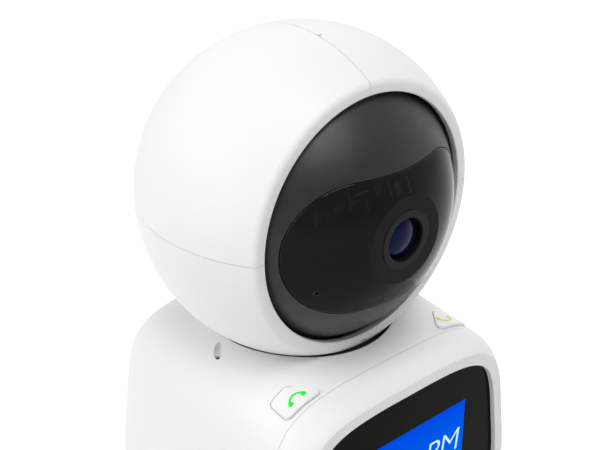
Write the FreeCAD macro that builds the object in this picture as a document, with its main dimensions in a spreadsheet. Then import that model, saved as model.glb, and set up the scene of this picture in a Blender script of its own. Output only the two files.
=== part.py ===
import FreeCAD, Part
import math
import os

import Sketcher
from FreeCAD import Placement, Rotation, Vector

# Pan and tilt video call camera: a ball head with a tilting eye, standing on a base with a screen.
# Frame: origin on the table under the pan axis, +Z up, the screen and the lens face -Y. Millimetres.

DOCUMENT = FreeCAD.newDocument("video_call_camera")

# ---------------------------------------------------------------- driving dimensions

DRIVING = {
    # ball head
    "ball_radius": 40.0,
    "ball_height": 102.0,
    "ball_wall": 2.4,
    "seam_gap": 0.1,
    "opening_depth": 22.4,
    "opening_radius": 30.4,
    "opening_lip": 1.5,
    "rim_outer_round": 1.7,
    "rim_inner_round": 0.3,
    "ball_foot_depth": 38.4,
    "saddle_radius": 7.5,
    # tilting eye
    "eye_radius": 36.2,
    "eye_wall": 2.2,
    "eye_half_width": 32.0,
    "eye_back": 6.0,
    "window_centre": 11.4,
    "window_end_radius": 16.2,
    "window_depth": 1.3,
    "window_gap": 0.22,
    "facet_depth": 34.6,
    "facet_radius": 10.6,
    "ring_radius": 7.15,
    "ring_hole": 5.3,
    "lens_recess": 0.5,
    "lens_radius": 5.1,
    "lens_bulge": 12.0,
    "barrel_bore": 3.9,
    # tilt drive
    "trunnion_radius": 3.0,
    "bush_radius": 5.0,
    "bush_inner": 32.4,
    "bush_outer": 36.2,
    "running_gap": 0.05,
    "tilt_module": 0.5,
    "tilt_gear_x": 24.0,
    "tilt_gear_width": 3.0,
    # base
    "base_front": 38.4,
    "base_joint": 30.2,
    "base_rear_start": 20.8,
    "base_rear_round": 16.0,
    "front_round": 13.1,
    "base_wall": 2.2,
    "base_floor": 1.6,
    "base_middle": 34.7,
    "base_half_height": 33.1,
    "base_half_width": 39.8,
    "dome_rise": 2.87,
    "frame_band": 2.8,
    "glass_recess": 1.2,
    "glass_thickness": 1.2,
    "collar_radius": 23.6,
    "collar_wall": 2.6,
    # pan drive
    "pan_module": 0.5,
    "hub_radius": 16.8,
    "hub_bore": 8.0,
    "ring_top": 61.5,
    "ring_thickness": 3.0,
    "pan_gear_top": 58.0,
    "pan_gear_width": 3.0,
}

SHEET = DOCUMENT.addObject("Spreadsheet::Sheet", "dimensions")
for row, (alias, value) in enumerate(DRIVING.items(), start=1):
    SHEET.set(f"A{row}", alias)
    SHEET.set(f"B{row}", str(value))
    SHEET.setAlias(f"B{row}", alias)
DOCUMENT.recompute()


class Size:
    """A length or an angle that carries its number and the formula that the document keeps."""

    def __init__(self, text, value):
        self.text = text
        self.value = value

    def _joined(self, sign, other, value):
        return Size(f"({self.text} {sign} {as_size(other).text})", value)

    def __add__(self, other):
        return self._joined("+", other, self.value + as_size(other).value)

    def __sub__(self, other):
        return self._joined("-", other, self.value - as_size(other).value)

    def __mul__(self, other):
        return self._joined("*", other, self.value * as_size(other).value)

    def __truediv__(self, other):
        return self._joined("/", other, self.value / as_size(other).value)

    def __neg__(self):
        return Size(f"(0 - {self.text})", -self.value)

    __radd__ = __add__

    def __rsub__(self, other):
        return as_size(other) - self

    __rmul__ = __mul__


def as_size(number):
    return number if isinstance(number, Size) else Size(f"{number:.6g}", float(number))


def dim(alias):
    return Size(f"dimensions.{alias}", float(SHEET.get(alias)))


# ---------------------------------------------------------------- fixed counts, places and small sizes

# drives
TILT_TEETH = 72
TILT_PINION_TEETH = 12
PAN_TEETH = 72
PAN_PINION_TEETH = 14
MOTOR_DIP = 7.5  # how far the tilt motor lies below the tilt axis, in degrees
MESH_EASE = 0.06  # extra centre distance of meshed gears
PRESSURE_ANGLE = 20.0
SHAFT_RADIUS = 0.97
PINION_BORE = 1.0
TILT_CAN_RADIUS = 8.0
TILT_CAN_LENGTH = 12.0
PAN_CAN_RADIUS = 10.0
PAN_CAN_LENGTH = 17.0
SHEET_METAL = 1.2
BRACKET_FOOT = -13.2  # underside of the tilt bracket's foot, from the ball's centre
TRUNNION_FLANGE = 1.6
TURNTABLE_FLANGE = 20.0
GEAR_SCREW_CIRCLE = 12.6
# screws
SCREW_HEAD = 1.5
SCREW_HEIGHT = 0.9
SCREW_SLOT_DEPTH = 0.45
SCREW_SLOT_HALF = 0.2
PILOT_RADIUS = 1.2
DISPLAY_SCREWS = [(-29.0, 50.0), (29.0, 50.0), (-31.6, 17.0), (31.6, 17.0)]
FLOOR_SCREWS = [(-31.5, -20.0), (31.5, -20.0), (-31.5, 19.0), (31.5, 19.0)]
# boards
BOARD_Y = 24.0  # image board's front face, from the ball's centre towards -Y
BRACKET_Y = -33.8
BOARD_FACE = -27.0
BOARD_THICKNESS = 1.6
# each chip's x, z, width and height
BOARD_CHIPS = [(-2, 32, 12, 1.2), (-18, 38, 8, 1.0), (14, 44, 6, 1.0), (16, 22, 7, 1.1)]
LAMP_PLACES = [(-11.5, 7), (11.5, 7), (-11.5, -7), (11.5, -7)]
MICROPHONE_X = -20.8
BOARD_POSTS = [(-24.0, 47.5), (24.0, 47.5), (-24.0, 13.0), (24.0, 13.0)]
# back and floor openings
SOCKET_Z = 12.0
CARD_X = 16.0
SPEAKER_Y = 33.4
SPEAKER_Z = 33.0
SOUND_HOLE_PITCH = 3.6
VENT_PITCH = 4.0
VENT_START_Y = -12.0
FLOOR_X = 34.0
FLOOR_Y = 24.0
INSERT_RADIUS = 5.0
INSERT_LENGTH = 8.0
THREAD_RADIUS = 2.6
FOOT_RADIUS = 4.5
FOOT_PLACES = [(-25, -17), (25, -17), (-25, 17), (25, 17)]
# call buttons: the right one's corners seen from above; the left one mirrors it
KEY_CORNERS = [(18.3, -29.3), (29.9, -28.9), (29.7, -22.2), (24.6, -21.9)]
KEY_GAP = 0.14
KEY_PROUD = 0.12
KEY_TIP = 5.0  # degrees by which a button's top rises towards -Y
KEY_HINGE_Y = -21.9
KEY_HINGE_Z = 68.9
KEY_BOTTOM = 60.2
KEY_EDGE_ROUND = 0.3
MARK_HEIGHT = 0.08
ANSWER_ICON = (-25.2, -26.0)
HANG_UP_ICON = (24.7, -26.4)
HANDSET_BOW = 2.5
HANDSET_END = 0.6
HANDSET_END_X = 1.9
SWITCH_X = 25.6
SWITCH_Y = -25.2
SWITCH_HALF = 3.0
SWITCH_TOP = 58.4
KEY_TRAVEL_ROOM = 0.7
# reset
RESET_DENT = (-27.2, -0.6, 67.6)
RESET_PIN = (-28.0, -1.4)
RESET_PIN_RADIUS = 0.7

# ---------------------------------------------------------------- modelling helpers

UPRIGHT = Rotation()
ALONG_X = Rotation(Vector(0, 1, 0), 90)
ALONG_MINUS_X = Rotation(Vector(0, 1, 0), -90)
ALONG_Y = Rotation(Vector(1, 0, 0), -90)
ALONG_MINUS_Y = Rotation(Vector(1, 0, 0), 90)
PIECES = []


def bind(item, path, size):
    item.setExpression(path, as_size(size).text)


def place(item, x=0, y=0, z=0, turn=UPRIGHT):
    sizes = [as_size(x), as_size(y), as_size(z)]
    item.Placement = Placement(Vector(*[size.value for size in sizes]), turn)
    for axis, size in zip("xyz", sizes):
        bind(item, f"Placement.Base.{axis}", size)
    return item


def box(name, low, high):
    item = DOCUMENT.addObject("Part::Box", name)
    for side, start, end in zip(("Length", "Width", "Height"), low, high):
        bind(item, side, as_size(end) - start)
    return place(item, *low)


def cylinder(name, radius, length, start, turn=UPRIGHT):
    item = DOCUMENT.addObject("Part::Cylinder", name)
    bind(item, "Radius", radius)
    bind(item, "Height", length)
    return place(item, *start, turn)


def sphere(name, radius):
    item = DOCUMENT.addObject("Part::Sphere", name)
    bind(item, "Radius", radius)
    return place(item, 0, 0, BALL_Z)


def union(name, *items):
    item = DOCUMENT.addObject("Part::MultiFuse", name)
    item.Shapes = list(items)
    return item


def common(name, *items):
    item = DOCUMENT.addObject("Part::MultiCommon", name)
    item.Shapes = list(items)
    return item


def minus(name, base, *tools):
    item = DOCUMENT.addObject("Part::Cut", name)
    item.Base = base
    item.Tool = tools[0] if len(tools) == 1 else union(f"{name}_tools", *tools)
    return item


def keep(item, label=None):
    """Registers a finished sub-part; its label is the node's name."""
    item.Label = label or item.Name
    PIECES.append(item)
    return item


def start_body(name, x=0, y=0, z=0, turn=UPRIGHT):
    return place(DOCUMENT.addObject("PartDesign::Body", name), x, y, z, turn)


def sketch(owner, name, role="XY_Plane", offset=0):
    drawing = owner.newObject("Sketcher::SketchObject", f"{owner.Name}_{name}")
    plane = next(item for item in owner.Origin.OriginFeatures if item.Role == role)
    drawing.AttachmentSupport = (plane, [""])
    drawing.MapMode = "FlatFace"
    bind(drawing, "AttachmentOffset.Base.z", offset)
    return drawing


def pin_point(drawing, geometry, point, x, y):
    """Fixes one sketch point at a distance from the sketch's origin along both axes."""
    for kind, size in (("DistanceX", as_size(x)), ("DistanceY", as_size(y))):
        number = drawing.addConstraint(Sketcher.Constraint(kind, -1, 1, geometry, point, size.value))
        name = f"{kind}_{geometry}_{point}"
        drawing.renameConstraint(number, name)
        bind(drawing, f"Constraints.{name}", size)


def polygon(drawing, corners):
    """Closed outline with straight sides through the corners."""
    points = [Vector(as_size(x).value, as_size(y).value, 0) for x, y in corners]
    ends = points[1:] + points[:1]
    first = drawing.GeometryCount
    count = len(points)
    for start, end in zip(points, ends):
        drawing.addGeometry(Part.LineSegment(start, end), False)
    for index in range(count):
        following = first + (index + 1) % count
        drawing.addConstraint(Sketcher.Constraint("Coincident", first + index, 2, following, 1))
    for index, (x, y) in enumerate(corners):
        pin_point(drawing, first + index, 1, x, y)


def rectangle(drawing, half_width, low, high):
    polygon(drawing, [(-half_width, low), (half_width, low), (half_width, high), (-half_width, high)])


def circle(drawing, x, y, radius):
    size = as_size(radius)
    centre = Vector(as_size(x).value, as_size(y).value, 0)
    index = drawing.addGeometry(Part.Circle(centre, Vector(0, 0, 1), size.value), False)
    pin_point(drawing, index, 3, x, y)
    number = drawing.addConstraint(Sketcher.Constraint("Radius", index, size.value))
    name = f"Radius_{index}"
    drawing.renameConstraint(number, name)
    bind(drawing, f"Constraints.{name}", size)


def extrude(owner, drawing, length, kind="Pad", reverse=False):
    feature = owner.newObject(f"PartDesign::{kind}", f"{drawing.Name}_{kind.lower()}")
    feature.Profile = drawing
    bind(feature, "Length", length)
    feature.Reversed = reverse
    drawing.Visibility = False
    return feature


def turned(name, profile, x=0, y=0, z=0, turn=UPRIGHT):
    """A sub-part turned about its own Z from a profile of (radius, height) corners."""
    owner = start_body(name, x, y, z, turn)
    drawing = sketch(owner, "profile", "XZ_Plane")
    polygon(drawing, profile)
    feature = owner.newObject("PartDesign::Revolution", f"{name}_revolution")
    feature.Profile = drawing
    feature.ReferenceAxis = (drawing, ["V_Axis"])
    feature.Angle = 360
    return owner


def edges_along(shape, direction):
    """Names of the straight edges that run along a direction."""
    names = []
    for number, edge in enumerate(shape.Edges, start=1):
        if isinstance(edge.Curve, Part.Line) and abs(edge.Curve.Direction.dot(direction)) > 0.999:
            names.append(f"Edge{number}")
    return names


def round_corners(owner, radius, direction=Vector(0, 0, 1)):
    """Rounds every edge of the body that runs along the direction."""
    DOCUMENT.recompute()
    solid = owner.Tip
    feature = owner.newObject("PartDesign::Fillet", f"{owner.Name}_rounding")
    feature.Base = (solid, edges_along(solid.Shape, direction))
    feature.Radius = radius
    return feature


def screw(name, x, y, z, turn=UPRIGHT):
    """Pan head with a cross recess that stands on a face; its thread is inside the boss."""
    arm = SCREW_HEAD * 0.7
    top = SCREW_HEIGHT
    disc = cylinder(f"{name}_head", SCREW_HEAD, top, (0, 0, 0))
    half = SCREW_SLOT_HALF
    bottom = top - SCREW_SLOT_DEPTH
    recess = box(f"{name}_slot", (-arm, -half, bottom), (arm, half, top))
    cross = box(f"{name}_cross", (-half, -arm, bottom), (half, arm, top))
    return place(minus(name, disc, recess, cross), x, y, z, turn)


def gear(name, teeth, module, width, bore, x=0, y=0, z=0, turn=UPRIGHT, phase=0.0):
    """Spur gear about its own Z with its first tooth on its own X, turned by phase degrees."""
    addendum = module * 0.8
    dedendum = module * 1.1
    pitch_radius = module * teeth / 2
    tooth_width = module * (math.pi * 0.44)
    slope = math.tan(math.radians(PRESSURE_ANGLE))
    tip_half = tooth_width / 2 - addendum * slope
    root_half = tooth_width / 2 + dedendum * slope
    sunk = 0.15
    owner = start_body(name, x, y, z, turn * Rotation(Vector(0, 0, 1), phase))
    blank = sketch(owner, "blank")
    circle(blank, 0, 0, pitch_radius - dedendum)
    circle(blank, 0, 0, bore)
    extrude(owner, blank, width)
    flank = sketch(owner, "tooth")
    inner = pitch_radius - dedendum - sunk
    outer = pitch_radius + addendum
    polygon(flank, [(inner, -root_half), (outer, -tip_half), (outer, tip_half), (inner, root_half)])
    tooth = extrude(owner, flank, width)
    ring = owner.newObject("PartDesign::PolarPattern", f"{name}_teeth")
    ring.Originals = [tooth]
    ring.Axis = (blank, ["N_Axis"])
    ring.Angle = 360
    ring.Occurrences = teeth
    owner.Tip = ring
    return owner


BALL_RADIUS = dim("ball_radius")
BALL_Z = dim("ball_height")
FAR = 60.0

# ---------------------------------------------------------------- ball head


def ball_shells():
    """The ball is one turned shell about Y, split at its equator and its top into three covers."""
    wall = dim("ball_wall")
    front = -dim("opening_depth")
    inner_radius = BALL_RADIUS - wall
    outer = sphere("ball_outer", BALL_RADIUS)
    hollow = common(
        "ball_hollow",
        sphere("ball_inner", inner_radius),
        box("ball_hollow_front", (-FAR, front + dim("opening_lip"), 0), (FAR, FAR, 2 * BALL_Z)),
    )
    seat_start = dim("bush_inner")
    pivot_sides = (("right", seat_start, ALONG_X), ("left", -seat_start, ALONG_MINUS_X))
    blocks = [cylinder(f"saddle_{side}", dim("saddle_radius"), 6, (start, 0, BALL_Z), turn)
              for side, start, turn in pivot_sides]
    saddle_limit = sphere("saddle_limit", BALL_RADIUS - wall / 2)
    saddles = common("saddles", union("saddle_blocks", *blocks), saddle_limit)
    mouth = cylinder("ball_mouth", dim("opening_radius"), FAR, (0, 0, BALL_Z), ALONG_MINUS_Y)
    slice_off = box("ball_front_slice", (-FAR, -FAR, 0), (FAR, front, 2 * BALL_Z))
    shell = minus("ball_shell", outer, hollow, mouth, slice_off)
    DOCUMENT.recompute()
    rim = DOCUMENT.addObject("Part::Fillet", "ball_rim")
    rim.Base = shell
    rounds = []
    for number, edge in enumerate(shell.Shape.Edges, start=1):
        bounds = edge.BoundBox
        if abs(bounds.YMin - front.value) < 0.01 and abs(bounds.YMax - front.value) < 0.01:
            inner = bounds.ZMax - BALL_Z.value < dim("opening_radius").value + 0.5
            radius = dim("rim_inner_round" if inner else "rim_outer_round").value
            rounds.append((number, radius, radius))
    rim.Edges = rounds
    seat_depth = dim("bush_outer") - seat_start
    seats = [cylinder(f"bush_seat_{side}", dim("bush_radius"), seat_depth, (start, 0, BALL_Z), turn)
             for side, start, turn in pivot_sides]
    foot = BALL_Z - dim("ball_foot_depth")
    under = box("ball_under", (-FAR, -FAR, 0), (FAR, FAR, foot))
    whole = minus("ball_whole", union("ball_with_saddles", rim, saddles), *seats, under)
    half_gap = dim("seam_gap") / 2
    top = 2 * BALL_Z
    for side, low, high in (("left", -FAR, -half_gap), ("right", half_gap, FAR)):
        quarter = box(f"quarter_{side}", (low, -FAR, BALL_Z + half_gap), (high, FAR, top))
        keep(common(f"upper_shell_{side}", whole, quarter))
    lower_space = box("lower_space", (-FAR, -FAR, 0), (FAR, FAR, BALL_Z - half_gap))
    lower = common("lower_shell_blank", whole, lower_space)
    boss = common(
        "bracket_boss",
        box("bracket_column", (12, 22, foot), (20, 27, BALL_Z + BRACKET_FOOT)),
        sphere("bracket_column_limit", BALL_RADIUS - wall / 2),
    )
    cable_hole = cylinder("cable_hole", dim("hub_bore") - 0.5, 10, (0, 0, foot - 2))
    slot = box("rim_slot", (-0.9, front - 1, BALL_Z - 32.75), (0.9, front + 0.6, BALL_Z - 32.2))
    keep(minus("lower_shell", union("lower_shell_solid", lower, boss), cable_hole, slot))


def pivots():
    """Bushes that sit in the saddles and the trunnions that turn in them."""
    start = dim("bush_inner")
    end = dim("bush_outer")
    radius = dim("trunnion_radius")
    for side, sign, turn in (("right", 1, ALONG_X), ("left", -1, ALONG_MINUS_X)):
        bush = start_body(f"pivot_bush_{side}", sign * start, 0, BALL_Z, turn)
        ring = sketch(bush, "ring")
        circle(ring, 0, 0, dim("bush_radius"))
        circle(ring, 0, 0, radius + dim("running_gap"))
        extrude(bush, ring, end - start)
        keep(bush)
        inside = dim("eye_half_width") - dim("eye_wall")
        profile = [
            (0, -TRUNNION_FLANGE),
            (radius + 3, -TRUNNION_FLANGE),
            (radius + 3, 0),
            (radius, 0),
            (radius, end - inside - 0.3),
            (radius - 0.4, end - inside),
            (0, end - inside),
        ]
        keep(turned(f"trunnion_{side}", profile, sign * inside, 0, BALL_Z, turn))


def tilt_drive():
    """Gear on the eye's right trunnion and the small stepper behind the eye that drives it."""
    module = dim("tilt_module")
    width = dim("tilt_gear_width")
    gear_x = dim("tilt_gear_x")
    face = Rotation(Vector(0, 1, 0), 90)
    toward_motor = Rotation(Vector(1, 0, 0), 90 - MOTOR_DIP) * face
    half_tooth = 180 / TILT_TEETH
    keep(gear("tilt_gear", TILT_TEETH, module, width, 2.4, gear_x, 0, BALL_Z, toward_motor, half_tooth))
    distance = module * (TILT_TEETH + TILT_PINION_TEETH) / 2 + MESH_EASE
    motor_y = distance * math.cos(math.radians(MOTOR_DIP))
    motor_z = BALL_Z - distance * math.sin(math.radians(MOTOR_DIP))
    away = Rotation(Vector(1, 0, 0), -90 - MOTOR_DIP) * face
    keep(gear("tilt_pinion", TILT_PINION_TEETH, module, width, PINION_BORE, gear_x, motor_y, motor_z, away))
    plate_x = gear_x - 2 * SHEET_METAL
    can_x = plate_x - TILT_CAN_LENGTH
    can = cylinder("tilt_motor_can", TILT_CAN_RADIUS, TILT_CAN_LENGTH, (can_x, motor_y, motor_z), ALONG_X)
    neck = cylinder("tilt_motor_neck", 3, SHEET_METAL, (plate_x, motor_y, motor_z), ALONG_X)
    shaft = cylinder("tilt_motor_shaft", SHAFT_RADIUS, width + 3.4, (plate_x, motor_y, motor_z), ALONG_X)
    keep(union("tilt_motor", can, neck, shaft))
    foot_z = BALL_Z + BRACKET_FOOT
    foot_top = foot_z + SHEET_METAL
    plate = union(
        "bracket_plate",
        cylinder("bracket_round", TILT_CAN_RADIUS + 0.7, SHEET_METAL, (plate_x, motor_y, motor_z), ALONG_X),
        box("bracket_arm", (plate_x, 21, foot_z), (plate_x + SHEET_METAL, 25.4, motor_z)),
    )
    foot = union(
        "bracket_foot",
        box("bracket_foot_wide", (11.4, 21.4, foot_z), (20, 27, foot_top)),
        box("bracket_foot_neck", (20, 21.4, foot_z), (plate_x + SHEET_METAL, 25.4, foot_top)),
    )
    room_radius = TILT_CAN_RADIUS + dim("running_gap")
    room_start = (can_x, motor_y, motor_z)
    motor_room = cylinder("bracket_motor_room", room_radius, TILT_CAN_LENGTH, room_start, ALONG_X)
    neck_room = cylinder("bracket_neck_room", 3.05, 3, (gear_x - 3, motor_y, motor_z), ALONG_X)
    keep(minus("tilt_motor_bracket", union("bracket_solid", plate, foot), motor_room, neck_room))
    heads = [screw(f"bracket_screw_{n}", 13.6 + 4.4 * n, 24.6, foot_top) for n in (0, 1)]
    keep(union("bracket_screws", *heads))


# ---------------------------------------------------------------- tilting eye


def stadium(name, inset, start_y, end_y):
    """Long round-ended prism along Y, the outline of the dark window."""
    radius = dim("window_end_radius") - inset
    centre = dim("window_centre")
    depth = as_size(end_y) - start_y
    ends = [cylinder(f"{name}_{side}", radius, depth, (sign * centre, start_y, BALL_Z), ALONG_Y)
            for side, sign in (("right", 1), ("left", -1))]
    middle = box(f"{name}_middle", (-centre, start_y, BALL_Z - radius), (centre, end_y, BALL_Z + radius))
    return union(name, middle, *ends)


def eye():
    radius = dim("eye_radius")
    wall = dim("eye_wall")
    half_width = dim("eye_half_width")
    back = dim("eye_back")
    top = 2 * BALL_Z
    outer = common(
        "eye_outer",
        sphere("eye_ball", radius),
        box("eye_block", (-half_width, -FAR, 0), (half_width, back, top)),
    )
    inner = common(
        "eye_inner",
        sphere("eye_hollow", radius - wall),
        box("eye_hollow_block", (wall - half_width, -FAR, 0), (half_width - wall, FAR, top)),
    )
    seat_radius = radius - dim("window_depth")
    pocket = stadium("window_pocket", 0, -FAR, 0)
    seat = minus("window_seat", pocket, sphere("window_seat_ball", seat_radius))
    through = stadium("window_through", 2.2, -FAR, -20)
    holes = [cylinder(f"trunnion_hole_{side}", dim("trunnion_radius"), 6, (start, 0, BALL_Z), ALONG_X)
             for side, start in (("right", half_width - 4), ("left", -half_width - 2))]
    shell = minus("eye_shell_blank", outer, inner, seat, through, *holes)
    posts = [cylinder(f"board_post_{side}", 2, 7, (x, -BOARD_Y, BALL_Z - 17.5), ALONG_MINUS_Y)
             for side, x in (("right", 12), ("left", -12))]
    post_limit = sphere("post_limit", radius - wall / 2)
    keep(union("eye_shell", shell, common("board_posts", union("board_post_pair", *posts), post_limit)))

    outline = stadium("window_outline", dim("window_gap"), -FAR, 0)
    slab = minus(
        "window_slab",
        common("window_outer", outline, sphere("window_ball", radius)),
        sphere("window_back", seat_radius + 0.05),
    )
    plug_depth = 2.6
    plug_start = (0, plug_depth - dim("facet_depth"), BALL_Z)
    plug_disc = cylinder("facet_plug_disc", dim("facet_radius"), plug_depth, plug_start, ALONG_MINUS_Y)
    plug = common("facet_plug", plug_disc, sphere("facet_plug_limit", radius))
    cut_off = cylinder("facet_cut", FAR, FAR, (0, -dim("facet_depth"), BALL_Z), ALONG_MINUS_Y)
    ring_hole = cylinder("ring_hole", dim("ring_radius") + 0.12, 20, (0, -20, BALL_Z), ALONG_MINUS_Y)
    mic_hole = cylinder("window_mic_hole", 0.5, 30, (MICROPHONE_X, -10, BALL_Z - 8.4), ALONG_MINUS_Y)
    solid = union("window_solid", slab, plug)
    keep(minus("face_window", solid, cut_off, ring_hole, mic_hole))


def camera_module():
    """Lens ring, barrel, front glass, holder and image board behind the window."""
    ring_y = dim("facet_depth") + 0.15
    ring = dim("ring_radius")
    hole = dim("ring_hole")
    ring_profile = [
        (hole, -3.2),
        (ring, -3.2),
        (ring, -0.15),
        (ring - 0.15, 0),
        (hole + 0.1, 0),
        (hole, -0.1),
    ]
    keep(turned("lens_ring", ring_profile, 0, -ring_y, BALL_Z, ALONG_MINUS_Y))
    bore = dim("barrel_bore")
    sleeve = dim("lens_radius") + 0.05
    barrel_front = -3.45
    barrel_profile = [
        (sleeve, -0.4),
        (hole - 0.02, -0.4),
        (hole - 0.02, barrel_front),
        (6.0, barrel_front),
        (6.0, -9.5),
        (bore, -9.5),
        (bore, barrel_front),
        (sleeve, barrel_front),
    ]
    keep(turned("lens_barrel", barrel_profile, 0, -ring_y, BALL_Z, ALONG_MINUS_Y))
    glass = dim("lens_recess")
    bulge = dim("lens_bulge")
    back = -barrel_front - 0.05
    cap = cylinder("glass_disc", dim("lens_radius"), 4, (0, back - ring_y, BALL_Z), ALONG_MINUS_Y)
    ball = DOCUMENT.addObject("Part::Sphere", "glass_bulge")
    bind(ball, "Radius", bulge)
    place(ball, 0, bulge + glass - ring_y, BALL_Z)
    keep(common("lens_glass", cap, ball))
    holder = start_body("lens_holder", 0, -BOARD_Y, BALL_Z, ALONG_MINUS_Y)
    base = sketch(holder, "base")
    rectangle(base, 7.5, -7.5, 7.5)
    circle(base, 0, 0, 6.0)
    extrude(holder, base, 5)
    keep(holder)
    board = start_body("image_board", 0, SHEET_METAL - BOARD_Y, BALL_Z, ALONG_MINUS_Y)
    plate = sketch(board, "plate")
    polygon(plate, [(-15, -10), (15, -10), (15, 19), (-15, 19)])
    extrude(board, plate, SHEET_METAL)
    keep(board)
    lamps = [cylinder(f"lamp_{n}", 1.5, 3.4, (x, -BOARD_Y, BALL_Z + z), ALONG_MINUS_Y)
             for n, (x, z) in enumerate(LAMP_PLACES)]
    keep(union("infrared_leds", *lamps))
    capsule = cylinder("microphone_capsule", 1.4, 6, (MICROPHONE_X, -23.8, BALL_Z - 8.0), ALONG_MINUS_Y)
    behind_window = sphere("microphone_limit", dim("eye_radius") - dim("window_depth"))
    keep(common("eye_microphone", capsule, behind_window))


# ---------------------------------------------------------------- base housing

# Right half of the base's outline seen from the front, from beside the top centre to the floor.
HALF_OUTLINE = [
    (18.8, 67.2),
    (26.8, 65.3),
    (32.3, 61.3),
    (34.9, 55.8),
    (37.0, 44.0),
    (38.9, 28.5),
    (39.5, 14.0),
    (38.8, 3.6),
    (35.0, 1.6),
]
OUTLINE_TOP = 67.8


def base_outline(y, inset, under):
    """Closed wire in the plane at y: the outline drawn in by inset, and by under at the floor."""
    middle = dim("base_middle").value
    half_height = dim("base_half_height").value
    half_width = dim("base_half_width").value
    joint = dim("base_joint").value
    rise = dim("dome_rise").value * (1 - min(y * y, joint * joint) / (joint * joint))

    def moved(x, z):
        share = (z - middle) / half_height
        drawn_in = inset if share > 0 else under
        lift = rise * max(share, 0)
        return Vector(x * (1 - inset / half_width), y, middle + share * (half_height - drawn_in) + lift)

    right = [moved(x, z) for x, z in HALF_OUTLINE]
    left = [moved(-x, z) for x, z in HALF_OUTLINE]
    points = right[::-1] + [moved(0, OUTLINE_TOP)] + left
    curve = Part.BSplineCurve()
    curve.interpolate(Points=points)
    return Part.Wire([curve.toShape(), Part.LineSegment(points[-1], points[0]).toShape()])


def base_solid(name, drawn_in, front_reach):
    """The base's pillow shape, drawn in all round; front_reach is how far it runs past the joint."""
    joint = dim("base_joint").value
    front_round = dim("front_round").value
    rear_start = dim("base_rear_start").value
    rear_round = dim("base_rear_round").value - drawn_in
    sections = []
    for share in (1.0, 0.75, 0.5, 0.25):
        reach = front_reach * share
        inset = drawn_in + front_round - math.sqrt(front_round**2 - reach**2)
        sections.append(base_outline(-joint - reach, inset, inset))
    for y in (-joint, -joint / 2, 0, joint / 2, rear_start):
        sections.append(base_outline(y, drawn_in, drawn_in))
    for angle in (15, 30, 45, 60, 75, 90):
        turn = math.radians(angle)
        inset = drawn_in + rear_round * (1 - math.cos(turn))
        under = drawn_in + 0.3 * rear_round * (1 - math.cos(turn))
        sections.append(base_outline(rear_start + rear_round * math.sin(turn), inset, under))
    item = DOCUMENT.addObject("Part::Feature", name)
    item.Shape = Part.makeLoft(sections, True, False)
    return item


def outline_prism(name, drawn_in, start_y, end_y):
    """Straight prism along Y with the base's front outline drawn in."""
    front = dim("base_front").value
    reach = front - dim("base_joint").value
    round_inset = dim("front_round").value - math.sqrt(dim("front_round").value ** 2 - reach**2)
    inset = as_size(drawn_in).value + round_inset
    wire = base_outline(-front, inset, inset)
    wire.translate(Vector(0, front + start_y, 0))
    item = DOCUMENT.addObject("Part::Feature", name)
    item.Shape = Part.Face(wire).extrude(Vector(0, end_y - start_y, 0))
    return item


def base_covers():
    front = dim("base_front")
    joint = dim("base_joint")
    reach = (front - joint).value
    wall = dim("base_wall")
    half_gap = dim("seam_gap") / 2
    outer = base_solid("base_outer", 0.0, reach)
    inner = base_solid("base_inner", wall.value, reach - 3.6)
    front_space = box("front_space", (-FAR, -FAR, 0), (FAR, -joint - half_gap, 2 * BALL_Z))
    rear_space = box("rear_space", (-FAR, half_gap - joint, 0), (FAR, FAR, 2 * BALL_Z))

    band = dim("frame_band")
    recess = (front - dim("glass_recess")).value
    seat = recess - dim("glass_thickness").value
    glass_pocket = outline_prism("glass_pocket", band, -front.value - 1, -seat)
    view_hole = outline_prism("view_hole", band + 3.2, -front.value - 1, -joint.value)
    front_part = common("front_part", outer, front_space)
    frame = minus("front_frame_shell", front_part, inner, glass_pocket, view_hole)
    bosses = [cylinder(f"bracket_boss_{n}", 2.4, 1.6, (x, BRACKET_Y - 0.1, z), ALONG_MINUS_Y)
              for n, (x, z) in enumerate(DISPLAY_SCREWS)]
    keep(union("front_frame", frame, *bosses))
    glass = outline_prism("screen_glass", band + 0.15, -recess, -seat)
    keep(glass)

    collar = cylinder("collar_opening", dim("collar_radius"), 30, (0, 0, 50))
    floor = box("floor_opening", (-FLOOR_X, -FLOOR_Y, 0), (FLOOR_X, FLOOR_Y, 6))
    cuts = [floor, reset_recess()]
    for side, sign in (("right", 1), ("left", -1)):
        cuts.append(key_prism(f"key_well_{side}", sign, KEY_GAP, 58, 80))
    cuts += rear_openings()
    tube_radius = dim("collar_radius") + dim("collar_wall")
    collar_tube = cylinder("collar_tube", tube_radius, 30, (0, 0, dim("ring_top")))
    hollow = minus("rear_hollow", inner, collar_tube)
    shell = minus("rear_shell", common("rear_part", outer, rear_space), hollow, collar, *cuts)
    posts = []
    pilots = []
    for number, (x, y) in enumerate(FLOOR_SCREWS):
        posts.append(cylinder(f"floor_post_{number}", 3.2, 8, (x, y, dim("base_floor") + wall)))
        pilots.append(cylinder(f"floor_pilot_{number}", PILOT_RADIUS, 8, (x, y, 0)))
    post_solid = common("floor_post_solid", union("floor_post_set", *posts), outer)
    post_ring = minus("floor_posts", post_solid, *pilots)
    keep(union("rear_housing", shell, post_ring))


def reset_recess():
    """Drop-shaped recess beside the collar that deepens towards the reset pin at its front end."""
    dent = DOCUMENT.addObject("Part::Ellipsoid", "reset_dent")
    dent.Radius1 = 1.3
    dent.Radius2 = 2.6
    dent.Radius3 = 1.15
    direction = Rotation(Vector(0, 0, 1), 48) * Rotation(Vector(0, 1, 0), -14)
    place(dent, *RESET_DENT, direction)
    x, y = RESET_PIN
    hole = cylinder("reset_hole", RESET_PIN_RADIUS + 0.1, 10, (x, y, 58))
    return union("reset_recess", dent, hole)


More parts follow.
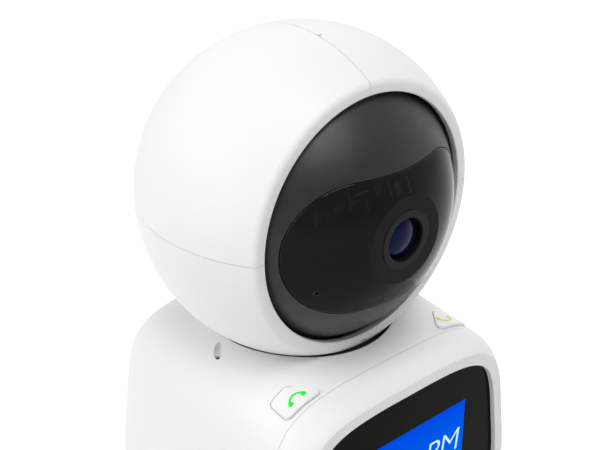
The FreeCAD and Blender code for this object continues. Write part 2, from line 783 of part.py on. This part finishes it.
def rear_openings():
    """Socket mouths and the sound holes in the back wall."""
    usb = rounded_slot("usb_mouth", 0, SOCKET_Z, 9.6, 3.8, 1.9, 28, 40)
    card = rounded_slot("card_mouth", CARD_X, SOCKET_Z - 0.4, 12.0, 1.8, 0.8, 28, 40)
    holes = []
    for row in range(5):
        for column in range(5):
            if (row - 2) ** 2 + (column - 2) ** 2 <= 5:
                x = SOUND_HOLE_PITCH * (column - 2)
                z = SPEAKER_Z + SOUND_HOLE_PITCH * (row - 2)
                holes.append(cylinder(f"sound_hole_{row}_{column}", 0.8, 12, (x, 28, z), ALONG_Y))
    return [usb, card] + holes


def rounded_slot(name, x, z, width, height, radius, start_y, end_y):
    """Round-cornered prism along Y, centred on x and z."""
    owner = start_body(name, x, start_y, z, ALONG_Y)
    outline = sketch(owner, "outline")
    rectangle(outline, width / 2, -height / 2, height / 2)
    extrude(owner, outline, end_y - start_y)
    round_corners(owner, radius * 0.999)
    return owner


# ---------------------------------------------------------------- call buttons


def key_prism(name, side, grow, bottom, top):
    """Upright prism with the button's rounded outline, on the right (1) or left (-1) side."""
    owner = start_body(name, 0, 0, bottom)
    outline = sketch(owner, "outline")
    centre_x = sum(x for x, _ in KEY_CORNERS) / 4
    centre_y = sum(y for _, y in KEY_CORNERS) / 4
    corners = []
    for x, y in KEY_CORNERS:
        out_x = x + math.copysign(grow, x - centre_x)
        out_y = y + math.copysign(grow, y - centre_y)
        corners.append((side * out_x, out_y))
    polygon(outline, corners if side > 0 else corners[::-1])
    extrude(owner, outline, top - bottom)
    round_corners(owner, 1.3 + grow)
    return owner


def handset(name, x, y, turn):
    """Telephone handset seen from above: a thin bow with an ear piece and a mouth piece."""
    bow = minus(
        f"{name}_bow",
        cylinder(f"{name}_bow_out", HANDSET_BOW, 20, (0, -1.6, 0)),
        cylinder(f"{name}_bow_in", HANDSET_BOW - 0.5, 20, (0, -1.6, 0)),
        box(f"{name}_bow_cut", (-5, -7, 0), (5, -0.75, 20)),
    )
    ends = []
    for end, sign in (("ear", 1), ("mouth", -1)):
        middle = sign * HANDSET_END_X
        low = middle - HANDSET_END
        high = middle + HANDSET_END
        pad = cylinder(f"{name}_{end}", HANDSET_END, 20, (middle, -0.75, 0))
        foot = box(f"{name}_{end}_foot", (low, -1.3, 0), (high, -0.75, 20))
        ends += [pad, foot]
    shape = union(f"{name}_outline", bow, *ends)
    return place(shape, x, y, 55, Rotation(Vector(0, 0, 1), turn))


def lifted_top(name, proud):
    """The base's pillow shape, raised by proud and tipped so that it stands higher towards -Y."""
    reach = (dim("base_front") - dim("base_joint")).value
    item = base_solid(name, 0.0, reach)
    hinge = Vector(0, KEY_HINGE_Y, KEY_HINGE_Z)
    tip = Rotation(Vector(1, 0, 0), -KEY_TIP)
    item.Placement = Placement(Vector(0, 0, proud), tip, hinge)
    return item


def call_buttons():
    key_top = lifted_top("key_top", KEY_PROUD)
    mark_top = lifted_top("mark_top", KEY_PROUD + MARK_HEIGHT)
    for side, sign, icon, turn in (("right", 1, HANG_UP_ICON, 180), ("left", -1, ANSWER_ICON, 0)):
        prism = key_prism(f"key_outline_{side}", sign, 0, KEY_BOTTOM, 80)
        key = common(f"call_button_{side}_blank", prism, key_top)
        DOCUMENT.recompute()
        soft = DOCUMENT.addObject("Part::Fillet", f"call_button_{side}")
        soft.Base = key
        top_edges = [number for number, edge in enumerate(key.Shape.Edges, start=1)
                     if edge.BoundBox.ZMin > KEY_BOTTOM + 2]
        soft.Edges = [(number, KEY_EDGE_ROUND, KEY_EDGE_ROUND) for number in top_edges]
        keep(soft)
        mark = handset(f"handset_{side}", *icon, turn)
        layer = minus(f"call_mark_{side}", common(f"mark_layer_{side}", mark, mark_top), key_top)
        keep(layer)
        middle = sign * SWITCH_X
        half = SWITCH_HALF
        low = (middle - half, SWITCH_Y - half, SWITCH_TOP - 2.8)
        high = (middle + half, SWITCH_Y + half, SWITCH_TOP)
        stem_height = KEY_BOTTOM - KEY_TRAVEL_ROOM - SWITCH_TOP
        switch_body = box(f"switch_body_{side}", low, high)
        stem = cylinder(f"switch_stem_{side}", 1.6, stem_height, (middle, SWITCH_Y, SWITCH_TOP))
        keep(union(f"button_switch_{side}", switch_body, stem))


# ---------------------------------------------------------------- display and boards


def display():
    """Panel behind the glass, its bracket and the main board on the bracket's posts."""
    seat = dim("base_front") - dim("glass_recess") - dim("glass_thickness")
    panel = start_body("lcd_panel", 0, -seat, 0, ALONG_Y)
    outline = sketch(panel, "outline")
    rectangle(outline, 23.5, -52.6, -14.5)
    extrude(panel, outline, seat + BRACKET_Y - 0.1)
    keep(panel)
    bracket = start_body("display_bracket", 0, BRACKET_Y, 0, ALONG_Y)
    plate = sketch(bracket, "plate")
    polygon(plate, [(-32.6, -53.2), (32.6, -53.2), (34.4, -13.5), (-34.4, -13.5)])
    rectangle(plate, 12.0, -42.0, -26.0)
    extrude(bracket, plate, SHEET_METAL)
    posts = sketch(bracket, "posts", offset=SHEET_METAL)
    for x, z in BOARD_POSTS:
        circle(posts, x, -z, 2.0)
    extrude(bracket, posts, BOARD_FACE - BRACKET_Y - SHEET_METAL)
    keep(bracket)
    heads = [screw(f"display_screw_{n}", x, BRACKET_Y + SHEET_METAL, z, ALONG_Y)
             for n, (x, z) in enumerate(DISPLAY_SCREWS)]
    keep(union("display_screws", *heads))
    board = start_body("main_board", 0, BOARD_FACE, 0, ALONG_Y)
    plate = sketch(board, "plate")
    rectangle(plate, 27.0, -51.0, -9.0)
    extrude(board, plate, BOARD_THICKNESS)
    keep(board)
    back = BOARD_FACE + BOARD_THICKNESS
    chips = []
    for number, (x, z, width, height) in enumerate(BOARD_CHIPS):
        half = width / 2
        chips.append(box(f"chip_{number}", (x - half, back, z - half), (x + half, back + height, z + half)))
    keep(union("board_chips", *chips))
    keep(box("wifi_module", (-23, back, 12), (-9, back + 2.2, 26)))


def power_and_sound():
    """Power board with its sockets, and the speaker behind the sound holes."""
    board = start_body("power_board", 0, 0, SOCKET_Z - 3.2)
    plate = sketch(board, "plate")
    rectangle(plate, 25.0, 16.0, 28.4)
    extrude(board, plate, 1.4)
    keep(board)
    top = SOCKET_Z - 1.8
    usb = minus(
        "usb_can",
        box("usb_block", (-4.47, 25.2, top), (4.47, 34.0, top + 3.3)),
        rounded_slot("usb_throat", 0, SOCKET_Z - 0.15, 8.3, 2.6, 1.2, 26.5, 40),
    )
    tongue = box("usb_tongue", (-3.3, 26.0, SOCKET_Z - 0.5), (3.3, 33.0, SOCKET_Z + 0.2))
    keep(union("usb_socket", usb, tongue))
    card = minus(
        "memory_card_slot",
        box("card_block", (CARD_X - 7, 20.0, top), (CARD_X + 7, 33.4, top + 2.2)),
        box("card_throat", (CARD_X - 5.6, 20.8, top + 0.7), (CARD_X + 5.6, 40, top + 1.7)),
    )
    keep(card)
    profile = [(0, 0), (12, 0), (12, -1.6), (8.5, -2.2), (8.5, -5.6), (0, -5.6)]
    keep(turned("speaker", profile, 0, SPEAKER_Y, SPEAKER_Z, ALONG_Y))
    ring = start_body("speaker_gasket", 0, SPEAKER_Y, SPEAKER_Z, ALONG_Y)
    rings = sketch(ring, "ring")
    circle(rings, 0, 0, 12.0)
    circle(rings, 0, 0, 10.2)
    extrude(ring, rings, 34.6 - SPEAKER_Y)
    keep(ring)


# ---------------------------------------------------------------- pan drive


def pan_drive():
    hub = dim("hub_radius")
    bore = dim("hub_bore")
    ring_top = dim("ring_top")
    gear_top = dim("pan_gear_top")
    rest = ring_top + 0.05
    disc_top = 8.5
    disc_profile = [
        (bore, disc_top),
        (bore, 0),
        (hub, 0),
        (hub, rest - gear_top),
        (TURNTABLE_FLANGE, rest - gear_top),
        (TURNTABLE_FLANGE, disc_top),
    ]
    disc = turned("turntable_disc", disc_profile, 0, 0, gear_top)
    keep(minus("pan_turntable", disc, sphere("turntable_dish", BALL_RADIUS)))
    width = dim("pan_gear_width")
    module = dim("pan_module")
    gear_bottom = gear_top - width
    keep(gear("pan_gear", PAN_TEETH, module, width, bore, 0, 0, gear_bottom, phase=180 / PAN_TEETH))
    distance = module * (PAN_TEETH + PAN_PINION_TEETH) / 2 + MESH_EASE
    keep(gear("pan_pinion", PAN_PINION_TEETH, module, width, PINION_BORE, -distance, 0, gear_bottom))
    motor_top = gear_bottom - 2.0
    can_start = (-distance, 0, motor_top - PAN_CAN_LENGTH)
    can = cylinder("pan_motor_can", PAN_CAN_RADIUS, PAN_CAN_LENGTH, can_start)
    shaft = cylinder("pan_motor_shaft", SHAFT_RADIUS, width + 2.0, (-distance, 0, motor_top))
    keep(union("pan_motor", can, shaft))
    thickness = dim("ring_thickness")
    bearing = hub + dim("running_gap")
    outside = dim("collar_radius") + dim("collar_wall")
    ring_bottom = ring_top - thickness
    lead_in = 0.4
    ring_profile = [
        (bearing, ring_bottom),
        (bearing, ring_top - lead_in),
        (bearing + lead_in, ring_top),
        (outside, ring_top),
        (outside, ring_bottom),
    ]
    keep(turned("collar_ring", ring_profile))
    head_profile = [(0, 0), (SCREW_HEAD, 0), (SCREW_HEAD, 0.5), (1.0, SCREW_HEIGHT), (0, SCREW_HEIGHT)]
    heads = []
    for number, angle in enumerate((90, 210, 330)):
        x = GEAR_SCREW_CIRCLE * math.cos(math.radians(angle))
        y = GEAR_SCREW_CIRCLE * math.sin(math.radians(angle))
        heads.append(turned(f"pan_gear_screw_{number}", head_profile, x, y, gear_bottom - SCREW_HEIGHT))
    keep(union("pan_gear_screws", *heads))
    shelf = box("motor_shelf", (-distance - 9, -13, motor_top), (-10.5, 13, motor_top + 1.0))
    hole = cylinder("motor_shelf_hole", 4.2, 3, (-distance, 0, motor_top - 1))
    walls = union(
        "motor_walls",
        box("motor_wall_near", (-distance - 3, -13, motor_top), (-distance + 6, -11.6, ring_bottom)),
        box("motor_wall_far", (-distance - 3, 11.6, motor_top), (-distance + 6, 13, ring_bottom)),
    )
    keep(minus("pan_motor_bracket", union("motor_bracket_solid", shelf, walls), hole))


# ---------------------------------------------------------------- underside


def underside():
    wall = dim("base_wall")
    floor = dim("base_floor")
    cover = start_body("bottom_cover", 0, 0, floor)
    plate = sketch(cover, "plate")
    rectangle(plate, FLOOR_X - 0.15, 0.15 - FLOOR_Y, FLOOR_Y - 0.15)
    circle(plate, 0, 0, INSERT_RADIUS)
    for x, y in FLOOR_SCREWS:
        circle(plate, x, y, PILOT_RADIUS)
    for row in range(3):
        for column in range(5):
            circle(plate, VENT_PITCH * (column - 2), VENT_START_Y - VENT_PITCH * row, 0.9)
    extrude(cover, plate, wall)
    collar = sketch(cover, "insert_collar", offset=wall)
    circle(collar, 0, 0, INSERT_RADIUS)
    circle(collar, 0, 0, INSERT_RADIUS + 2)
    extrude(cover, collar, INSERT_LENGTH - wall.value)
    keep(cover)
    insert = start_body("tripod_insert", 0, 0, floor)
    ring = sketch(insert, "ring")
    circle(ring, 0, 0, INSERT_RADIUS)
    circle(ring, 0, 0, THREAD_RADIUS)
    extrude(insert, ring, INSERT_LENGTH)
    keep(insert)
    feet = [cylinder(f"foot_{n}", FOOT_RADIUS, floor, (x, y, 0)) for n, (x, y) in enumerate(FOOT_PLACES)]
    keep(union("rubber_feet", *feet))
    heads = [cylinder(f"base_screw_{n}", PILOT_RADIUS, 6, (x, y, floor + 0.2))
             for n, (x, y) in enumerate(FLOOR_SCREWS)]
    keep(union("base_screws", *heads))
    keep(cylinder("reset_button", RESET_PIN_RADIUS, 5.7, (*RESET_PIN, 60.2)))


ball_shells()
pivots()
tilt_drive()
eye()
camera_module()
base_covers()
call_buttons()
display()
power_and_sound()
pan_drive()
underside()

DOCUMENT.recompute()
failed = [item.Name for item in DOCUMENT.Objects if {"Invalid", "Error"} & set(item.State)]
bad = [item.Label for item in PIECES if item.Shape.isNull() or not item.Shape.isValid()]
if failed or bad:
    raise SystemExit(f"objects that failed: {failed}; sub-parts with a bad shape: {bad}")

os.makedirs("parts", exist_ok=True)
for item in PIECES:
    item.Shape.exportStep(f"parts/{item.Label}.step")
    print(f"{item.Label}: {len(item.Shape.Solids)} solids, {item.Shape.Volume:.1f} mm3")
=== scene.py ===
"""An indoor camera with a ball head on a rounded screen base: finishes, stage, light and camera."""

import math

import bpy
from mathutils import Matrix, Vector


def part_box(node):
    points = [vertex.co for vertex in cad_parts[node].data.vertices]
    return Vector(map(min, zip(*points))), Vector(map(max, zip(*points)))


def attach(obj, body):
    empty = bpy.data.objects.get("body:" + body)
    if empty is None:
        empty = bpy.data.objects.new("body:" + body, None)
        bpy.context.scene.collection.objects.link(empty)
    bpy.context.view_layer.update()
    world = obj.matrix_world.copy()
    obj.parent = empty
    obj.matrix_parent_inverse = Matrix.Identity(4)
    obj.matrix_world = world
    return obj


MM = 0.001
BEVEL_SAMPLES = 6
SMUDGE_MM = 5.0
# how far a rounded normal agrees with the face's own, on an edge and on a face
EDGE_MATCH = (0.75, 0.995)

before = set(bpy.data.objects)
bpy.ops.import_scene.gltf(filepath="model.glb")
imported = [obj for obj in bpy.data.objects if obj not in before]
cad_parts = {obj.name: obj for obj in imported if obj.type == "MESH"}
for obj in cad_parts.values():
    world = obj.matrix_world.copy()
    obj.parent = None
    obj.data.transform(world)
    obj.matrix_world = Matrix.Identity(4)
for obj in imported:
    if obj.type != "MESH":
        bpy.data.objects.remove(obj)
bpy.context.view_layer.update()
scene = bpy.context.scene
scene.view_settings.view_transform = "Standard"
scene.view_settings.look = "None"

# ---------------------------------------------------------------- finishes


def new_tree(material):
    """Empties the material's node tree and returns it with its shader and its object coordinates."""
    material.use_nodes = True
    tree = material.node_tree
    tree.nodes.clear()
    out = tree.nodes.new("ShaderNodeOutputMaterial")
    shader = tree.nodes.new("ShaderNodeBsdfPrincipled")
    tree.links.new(shader.outputs[0], out.inputs[0])
    where = tree.nodes.new("ShaderNodeTexCoord").outputs["Object"]
    return tree, shader, where


def noise(tree, where, size_mm, detail=2.0, rough=0.5):
    """A noise whose features are about size_mm across, from 0 to 1."""
    node = tree.nodes.new("ShaderNodeTexNoise")
    node.inputs["Scale"].default_value = 1.0 / (size_mm * MM)
    node.inputs["Detail"].default_value = detail
    node.inputs["Roughness"].default_value = rough
    tree.links.new(where, node.inputs["Vector"])
    return node.outputs["Fac"]


def spread(tree, value, low, high, start=0.3, stop=0.7):
    """Maps a noise's usual span onto low to high."""
    node = tree.nodes.new("ShaderNodeMapRange")
    node.inputs["From Min"].default_value = start
    node.inputs["From Max"].default_value = stop
    node.inputs["To Min"].default_value = low
    node.inputs["To Max"].default_value = high
    tree.links.new(value, node.inputs["Value"])
    return node.outputs["Result"]


def blended(tree, share, first, second):
    """Colour first at share 0 and second at share 1. Each is three numbers or a socket."""
    node = tree.nodes.new("ShaderNodeMix")
    node.data_type = "RGBA"
    tree.links.new(share, node.inputs[0])
    for socket, colour in ((node.inputs[6], first), (node.inputs[7], second)):
        if isinstance(colour, bpy.types.NodeSocket):
            tree.links.new(colour, socket)
        else:
            socket.default_value = (*colour, 1.0)
    return node.outputs[2]


def scaled(colour, by):
    return tuple(min(1.0, c * by) for c in colour)


def relief(tree, shader, height, depth_mm, edge_mm):
    """Fine relief of depth_mm on a surface whose edges look rounded by edge_mm."""
    bump = tree.nodes.new("ShaderNodeBump")
    bump.inputs["Strength"].default_value = 1.0
    bump.inputs["Distance"].default_value = depth_mm * MM
    tree.links.new(height, bump.inputs["Height"])
    if edge_mm:
        bevel = tree.nodes.new("ShaderNodeBevel")
        bevel.samples = BEVEL_SAMPLES
        bevel.inputs["Radius"].default_value = edge_mm * MM
        tree.links.new(bevel.outputs[0], bump.inputs["Normal"])
    tree.links.new(bump.outputs[0], shader.inputs["Normal"])


def shiny_edges(tree, shader, level, edge_level, edge_mm):
    """A gloss that rises from level on the faces to edge_level on the rounded edges."""
    rounded = tree.nodes.new("ShaderNodeBevel")
    rounded.samples = BEVEL_SAMPLES
    rounded.inputs["Radius"].default_value = edge_mm * MM
    flat = tree.nodes.new("ShaderNodeNewGeometry").outputs["Normal"]
    match = tree.nodes.new("ShaderNodeVectorMath")
    match.operation = "DOT_PRODUCT"
    tree.links.new(rounded.outputs[0], match.inputs[0])
    tree.links.new(flat, match.inputs[1])
    gloss = spread(tree, match.outputs["Value"], edge_level, level, *EDGE_MATCH)
    tree.links.new(gloss, shader.inputs["Specular IOR Level"])


def finish(material, colour, rough, metal=0.0, specular=0.5, mottle=0.04, rough_spread=0.06,
           grain_mm=0.25, grain_depth_mm=0.004, edge_mm=0.15, mottle_mm=22.0,
           tint=None, edge_specular=None):
    """A moulded, painted or machined surface: slow colour drift, smudged sheen and fine grain."""
    tree, shader, where = new_tree(material)
    drift = spread(tree, noise(tree, where, mottle_mm, 3.0), 0.0, 1.0)
    colours = blended(tree, drift, colour, scaled(colour, 1.0 - mottle))
    tree.links.new(colours, shader.inputs["Base Color"])
    smudge = spread(tree, noise(tree, where, SMUDGE_MM, 4.0, 0.6),
                    rough - rough_spread, rough + rough_spread)
    tree.links.new(smudge, shader.inputs["Roughness"])
    shader.inputs["Metallic"].default_value = metal
    shader.inputs["Specular IOR Level"].default_value = specular
    if tint:
        shader.inputs["Specular Tint"].default_value = (*tint, 1.0)
    if edge_specular:
        shiny_edges(tree, shader, specular, edge_specular, edge_mm)
    relief(tree, shader, noise(tree, where, grain_mm, 2.0), grain_depth_mm, edge_mm)


FINISHES = {
    "white_shell": dict(colour=(0.80, 0.80, 0.80), rough=0.5, specular=0.3, mottle=0.012,
                        grain_depth_mm=0.002),
    "button_white": dict(colour=(0.80, 0.80, 0.80), rough=0.42, specular=0.3, mottle=0.012,
                         grain_depth_mm=0.002),
    "eye_black": dict(colour=(0.014, 0.014, 0.014), rough=0.44, grain_mm=0.16, grain_depth_mm=0.012),
    "window_black": dict(colour=(0.010, 0.010, 0.010), rough=0.05, rough_spread=0.015, specular=0.06,
                         grain_depth_mm=0.0002, edge_mm=0.3, edge_specular=0.9),
    "screen_glass": dict(colour=(0.003, 0.003, 0.003), rough=0.16, rough_spread=0.02, specular=0.04,
                         grain_depth_mm=0.0002),
    "ring_grey": dict(colour=(0.012, 0.012, 0.012), rough=0.34, specular=0.1, grain_mm=0.12,
                      grain_depth_mm=0.004),
    "lens_coated": dict(colour=(0.004, 0.004, 0.035), rough=0.06, rough_spread=0.01, specular=0.18,
                        grain_depth_mm=0.0001, edge_mm=0.0, tint=(0.4, 0.45, 1.0)),
    "dark_plastic": dict(colour=(0.004, 0.004, 0.004), rough=0.5, specular=0.1, grain_depth_mm=0.006),
    "answer_green": dict(colour=(0.0, 0.85, 0.01), rough=0.4, mottle=0.06, grain_depth_mm=0.001),
    "hang_up_amber": dict(colour=(0.80, 0.70, 0.0), rough=0.4, mottle=0.06, grain_depth_mm=0.001),
    "inner_plastic": dict(colour=(0.16, 0.16, 0.17), rough=0.5, grain_depth_mm=0.006),
    "gear_plastic": dict(colour=(0.80, 0.78, 0.72), rough=0.4, mottle=0.05),
    "board_green": dict(colour=(0.01, 0.15, 0.05), rough=0.3, mottle=0.2, mottle_mm=2.0),
    "chip_black": dict(colour=(0.03, 0.03, 0.03), rough=0.5, grain_depth_mm=0.005),
    "metal_can": dict(colour=(0.62, 0.62, 0.60), rough=0.32, metal=1.0, mottle=0.1),
    "brass": dict(colour=(0.72, 0.53, 0.22), rough=0.25, metal=1.0, mottle=0.1, mottle_mm=3.0),
    "screw_steel": dict(colour=(0.5, 0.5, 0.51), rough=0.3, metal=1.0, mottle=0.15, mottle_mm=2.0),
    "foot_rubber": dict(colour=(0.04, 0.04, 0.04), rough=0.75, grain_depth_mm=0.01),
}
for slot_name, values in FINISHES.items():
    finish(bpy.data.materials[slot_name], **values)

# ---------------------------------------------------------------- the lit display

GLASS_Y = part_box("screen_glass")[0].y
PICTURE = dict(left=-21.3 * MM, right=21.3 * MM, low=18.2 * MM, high=50.2 * MM)
PICTURE_FRONT = GLASS_Y - 0.03 * MM
TEXT_FRONT = GLASS_Y - 0.05 * MM
PICTURE_STRENGTH = 0.95
TEXT_STRENGTH = 0.9
LETTER_DEPTH = 0.01 * MM
LETTER_OFFSET = -0.12 * MM
LETTER_SLANT = 0.12


def slab(name, corners, front, back):
    """A closed plate with the given (x, z) outline between two depths."""
    count = len(corners)
    points = [(x, y, z) for y in (front, back) for x, z in corners]
    faces = [tuple(range(count)), tuple(reversed(range(count, 2 * count)))]
    for i in range(count):
        j = (i + 1) % count
        faces.append((j, i, i + count, j + count))
    mesh = bpy.data.meshes.new(name)
    mesh.from_pydata(points, [], faces)
    mesh.update()
    made = bpy.data.objects.new(name, mesh)
    scene.collection.objects.link(made)
    return made


def display_material():
    """Backlit blue that runs from deep at the top to lighter at the bottom, with faint darker
    blotches.
    """
    material = bpy.data.materials.new("display_blue")
    tree, shader, where = new_tree(material)
    axes = tree.nodes.new("ShaderNodeSeparateXYZ")
    tree.links.new(where, axes.inputs[0])
    height = spread(tree, axes.outputs["Z"], 0.0, 1.0, PICTURE["low"], PICTURE["high"])
    blue = blended(tree, height, (0.0, 0.22, 0.95), (0.0, 0.075, 0.83))
    streak = spread(tree, noise(tree, where, 1.5, 2.0), 0.0, 0.08)
    colours = blended(tree, streak, blue, (0.0, 0.03, 0.6))
    tree.links.new(colours, shader.inputs["Emission Color"])
    shader.inputs["Emission Strength"].default_value = PICTURE_STRENGTH
    shader.inputs["Base Color"].default_value = (0.0, 0.0, 0.0, 1.0)
    smudge = spread(tree, noise(tree, where, SMUDGE_MM, 4.0), 0.12, 0.18)
    tree.links.new(smudge, shader.inputs["Roughness"])
    shader.inputs["Specular IOR Level"].default_value = 0.0
    relief(tree, shader, noise(tree, where, 0.3), 0.0002, 0.0)
    return material


def text_material():
    material = bpy.data.materials.new("display_text")
    tree, shader, where = new_tree(material)
    glow = blended(tree, noise(tree, where, 1.0), (0.55, 0.85, 0.92), (0.62, 0.9, 0.9))
    tree.links.new(glow, shader.inputs["Emission Color"])
    shader.inputs["Emission Strength"].default_value = TEXT_STRENGTH
    shader.inputs["Base Color"].default_value = (0.02, 0.02, 0.02, 1.0)
    smudge = spread(tree, noise(tree, where, SMUDGE_MM), 0.14, 0.2)
    tree.links.new(smudge, shader.inputs["Roughness"])
    return material


picture = slab(
    "display_picture",
    [(PICTURE["left"], PICTURE["low"]), (PICTURE["right"], PICTURE["low"]),
     (PICTURE["right"], PICTURE["high"]), (PICTURE["left"], PICTURE["high"])],
    PICTURE_FRONT,
    GLASS_Y + 0.05 * MM,
)
picture.data.materials.append(display_material())
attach(picture, "base")


def words(name, text, size_mm, x_mm, z_mm, align):
    """Slightly slanted letters on the display, facing -Y."""
    curve = bpy.data.curves.new(name, "FONT")
    curve.body = text
    curve.size = size_mm * MM
    curve.align_x = align
    curve.extrude = LETTER_DEPTH
    curve.offset = LETTER_OFFSET
    curve.shear = LETTER_SLANT
    flat = bpy.data.objects.new(name + "_curve", curve)
    flat.matrix_world = Matrix.Translation((x_mm * MM, TEXT_FRONT, z_mm * MM)) @ Matrix.Rotation(
        math.radians(90), 4, "X")
    scene.collection.objects.link(flat)
    bpy.context.view_layer.update()
    depsgraph = bpy.context.evaluated_depsgraph_get()
    mesh = bpy.data.meshes.new_from_object(flat.evaluated_get(depsgraph))
    mesh.transform(flat.matrix_world)
    bpy.data.objects.remove(flat)
    made = bpy.data.objects.new(name, mesh)
    scene.collection.objects.link(made)
    mesh.materials.clear()
    mesh.materials.append(TEXT_GLOW)
    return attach(made, "base")


TEXT_GLOW = text_material()
words("clock_time", "10:25 PM", size_mm=9.6, x_mm=19.9, z_mm=36.0, align="RIGHT")

# ---------------------------------------------------------------- stage, light and camera


def plane(name, size, place, facing, material):
    """A square of the given side that faces a direction."""
    bpy.ops.mesh.primitive_plane_add(size=size, location=place)
    made = bpy.context.object
    made.name = name
    made.rotation_mode = "QUATERNION"
    made.rotation_quaternion = Vector(facing).to_track_quat("Z", "Y")
    made.data.materials.append(material)
    return made


FLOOR_SIDE = 12.0
FLOOR_GLOW = 0.45
FLOOR_FADE = 0.06
BEHIND_THE_OBJECT = (0.66, 0.75, 0.0)
floor_material = bpy.data.materials.new("pale_floor")
floor_tree, floor_shader, floor_where = new_tree(floor_material)
floor_tone = blended(floor_tree, noise(floor_tree, floor_where, 300.0), (0.80,) * 3, (0.82,) * 3)
floor_tree.links.new(floor_tone, floor_shader.inputs["Base Color"])
floor_shader.inputs["Roughness"].default_value = 0.8
floor_shader.inputs["Emission Color"].default_value = (1.0, 1.0, 1.0, 1.0)
# the floor is lit from below behind the object, as a shooting table is, and fades in front of it
away = floor_tree.nodes.new("ShaderNodeVectorMath")
away.operation = "DOT_PRODUCT"
away.inputs[1].default_value = BEHIND_THE_OBJECT
floor_tree.links.new(floor_tree.nodes.new("ShaderNodeNewGeometry").outputs["Position"], away.inputs[0])
glow = spread(floor_tree, away.outputs["Value"], 0.0, FLOOR_GLOW, -FLOOR_FADE, FLOOR_FADE)
floor_tree.links.new(glow, floor_shader.inputs["Emission Strength"])
plane("floor", FLOOR_SIDE, (0.0, 0.0, 0.0), (0.0, 0.0, 1.0), floor_material)

world = bpy.data.worlds.new("soft_room")
scene.world = world
world.use_nodes = True
sky = world.node_tree.nodes["Background"]
sky.inputs["Color"].default_value = (1.0, 1.0, 1.0, 1.0)
# how strongly the sky shines from each side
SKY_LOBES = {
    (-1.0, 0.0, 0.0): 0.34,
    (1.0, 0.0, 0.0): 0.95,
    (0.0, 1.0, 0.0): 0.75,
}


def graded_sky(tree):
    """A soft room: one wide lobe of light from each wall but the front one."""
    toward = tree.nodes.new("ShaderNodeTexCoord").outputs["Generated"]
    total = None
    for axis, strength in SKY_LOBES.items():
        lobe = tree.nodes.new("ShaderNodeVectorMath")
        lobe.operation = "DOT_PRODUCT"
        lobe.inputs[1].default_value = axis
        tree.links.new(toward, lobe.inputs[0])
        level = spread(tree, lobe.outputs["Value"], 0.0, strength, 0.0, 1.0)
        if total is not None:
            joined = tree.nodes.new("ShaderNodeMath")
            joined.operation = "ADD"
            tree.links.new(total, joined.inputs[0])
            tree.links.new(level, joined.inputs[1])
            level = joined.outputs[0]
        total = level
    tree.links.new(total, sky.inputs["Strength"])


graded_sky(world.node_tree)


LAMP_TARGET = Vector((0.0, 0.0, 0.08))


def lamp(name, place, size, watts):
    """A square soft light that looks at the object's middle."""
    data = bpy.data.lights.new(name, "AREA")
    data.shape = "SQUARE"
    data.size = size
    data.energy = watts
    made = bpy.data.objects.new(name, data)
    made.location = place
    made.rotation_mode = "QUATERNION"
    made.rotation_quaternion = (Vector(place) - LAMP_TARGET).to_track_quat("Z", "Y")
    scene.collection.objects.link(made)


# Openings and shelves of the room in front, which show only in glossy reflections:
# each has its middle's x and z, its width and height, and its brightness.
ROOM_DISTANCE = 1.0
ROOM_SHAPES = [
    (-0.62, 0.16, 0.05, 0.20, 2.0),
    (-0.50, 0.24, 0.16, 0.02, 1.8),
    (-0.44, 0.12, 0.02, 0.22, 1.6),
    (-0.30, 0.26, 0.12, 0.10, 1.2),
    (-0.12, 0.34, 0.02, 0.26, 2.6),
    (-0.04, 0.30, 0.12, 0.02, 2.2),
    (0.06, 0.38, 0.20, 0.03, 2.6),
    (0.10, 0.22, 0.03, 0.14, 1.8),
    (0.30, 0.34, 0.10, 0.14, 1.6),
    (0.50, 0.30, 0.03, 0.20, 3.0),
    (0.66, 0.26, 0.12, 0.16, 2.2),
    (0.95, 0.22, 0.05, 0.24, 2.6),
]


def room_shape(number, x, z, width, height, brightness):
    material = bpy.data.materials.new(f"room_light_{number}")
    tree, shader, where = new_tree(material)
    shade = spread(tree, noise(tree, where, 60.0, 4.0), 0.2 * brightness, brightness, 0.35, 0.6)
    shader.inputs["Base Color"].default_value = (0.0, 0.0, 0.0, 1.0)
    shader.inputs["Emission Color"].default_value = (1.0, 1.0, 1.0, 1.0)
    tree.links.new(shade, shader.inputs["Emission Strength"])
    made = plane(f"room_shape_{number}", 1.0, (x, -ROOM_DISTANCE, z), (0.0, 1.0, 0.0), material)
    made.scale = (width, height, 1.0)
    made.visible_camera = False
    made.visible_diffuse = False
    made.visible_shadow = False


for number, shape in enumerate(ROOM_SHAPES):
    room_shape(number, *shape)

lamp("overhead", place=(-0.15, -0.4, 1.1), size=0.7, watts=8.5)
lamp("left_side", place=(-0.9, 0.1, 0.5), size=0.7, watts=3.8)

CAMERA_LENS = 76.99
CAMERA_PLACE = (-0.18259, -0.20561, 0.23857)
CAMERA_BACK = Vector((-0.5847, -0.6607, 0.4707))

camera_data = bpy.data.cameras.new("view")
camera_data.sensor_width = 36.0
camera_data.lens = CAMERA_LENS
camera_data.clip_start = 0.01
camera = bpy.data.objects.new("view", camera_data)
scene.collection.objects.link(camera)
camera.location = CAMERA_PLACE
camera.rotation_mode = "QUATERNION"
camera.rotation_quaternion = CAMERA_BACK.to_track_quat("Z", "Y")
scene.camera = camera
